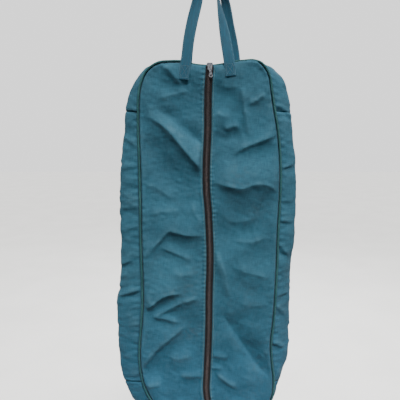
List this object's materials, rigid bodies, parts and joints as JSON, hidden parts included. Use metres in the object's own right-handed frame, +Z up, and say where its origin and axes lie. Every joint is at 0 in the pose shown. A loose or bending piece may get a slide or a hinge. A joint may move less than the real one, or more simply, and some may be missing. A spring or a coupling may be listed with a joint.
{
  "type": "ski boot bag",
  "caption": "Long soft hanging bag of woven cloth with a full-height front zip, piped edges, an outward-folded gusset and strap handles.",
  "frame": {"origin": "the point on which both handle loops hang: the underside of their highest point, where a nail or hook carries them", "axes": "+Z up, the way the bag hangs; the front with the zip faces -Y; +X is on the right of someone who looks at the front"},
  "size_m": [0.44, 0.0593, 1.2184],
  "materials": {
    "cloth": "woven teal cloth, slightly faded",
    "strap": "folded and edge-stitched teal strap",
    "piping": "dark green covered cord",
    "binding": "dark green tape",
    "zipper_tape": "brown-black woven tape",
    "zipper_coil": "dark brown nylon coil",
    "thread": "teal sewing thread",
    "metal": "worn silver zip metal"
  },
  "bodies": {
    "bag": {"back_panel": "cloth", "gusset_top": "cloth", "gusset_left": "cloth", "gusset_right": "cloth", "gusset_bottom": "cloth", "back_piping": "piping", "back_seam_binding": "binding", "back_handle_patch_left": "binding", "back_handle_patch_right": "binding", "back_handle_stitching_left": "thread", "back_handle_stitching_right": "thread"},
    "front": {"front_piping": "piping", "front_seam_binding": "binding", "zipper_top_stop_left": "metal", "zipper_top_stop_right": "metal", "zipper_bottom_stop": "metal"},
    "front_left": {"front_panel_left": "cloth", "zipper_tape_left": "zipper_tape", "zipper_coil_left": "zipper_coil", "front_handle_patch_left": "binding", "front_handle_stitching_left": "thread"},
    "front_right": {"front_panel_right": "cloth", "zipper_tape_right": "zipper_tape", "zipper_coil_right": "zipper_coil", "front_handle_patch_right": "binding", "front_handle_stitching_right": "thread"},
    "slider": {"slider_body": "metal"},
    "tab": {"pull_tab": "metal"},
    "front_loop": {"front_handle": "strap"},
    "back_loop": {"back_handle": "strap"}
  },
  "joints": [
    {"name": "gusset_unfold", "type": "slide", "parent": "bag", "child": "front", "axis": [0, -1, 0], "range_m": [0, 0.03], "deforming": ["gusset_top", "gusset_left", "gusset_right", "gusset_bottom"]},
    {"name": "slider_travel", "type": "slide", "parent": "front", "child": "slider", "axis": [0, 0, -1], "range_m": [0, 0.88], "deforming": ["zipper_tape_left", "zipper_tape_right", "zipper_coil_left", "zipper_coil_right"]},
    {"name": "tab_swing", "type": "hinge", "parent": "slider", "child": "tab", "pos_m": [0, -0.02765, -0.287], "axis": [-1, 0, 0], "range_deg": [0, 170]},
    {"name": "left_half_opening", "type": "hinge", "parent": "front", "child": "front_left", "pos_m": [-0.169, -0.023, -0.731], "axis": [0, 0, -1], "range_deg": [0, 40]},
    {"name": "right_half_opening", "type": "hinge", "parent": "front", "child": "front_right", "pos_m": [0.169, -0.023, -0.731], "axis": [0, 0, 1], "range_deg": [0, 40]},
    {"name": "front_handle_swing", "type": "hinge", "parent": "front", "child": "front_loop", "pos_m": [0, -0.025, -0.275], "axis": [1, 0, 0], "range_deg": [0, 150], "deforming": ["front_handle"]},
    {"name": "back_handle_swing", "type": "hinge", "parent": "bag", "child": "back_loop", "pos_m": [0, 0.019, -0.275], "axis": [-1, 0, 0], "range_deg": [0, 172], "deforming": ["back_handle"]}
  ],
  "couplings": [
    {"joint": "left_half_opening", "follows": "slider_travel", "rad_per_m": 0.7933},
    {"joint": "right_half_opening", "follows": "slider_travel", "rad_per_m": 0.7933}
  ]
}
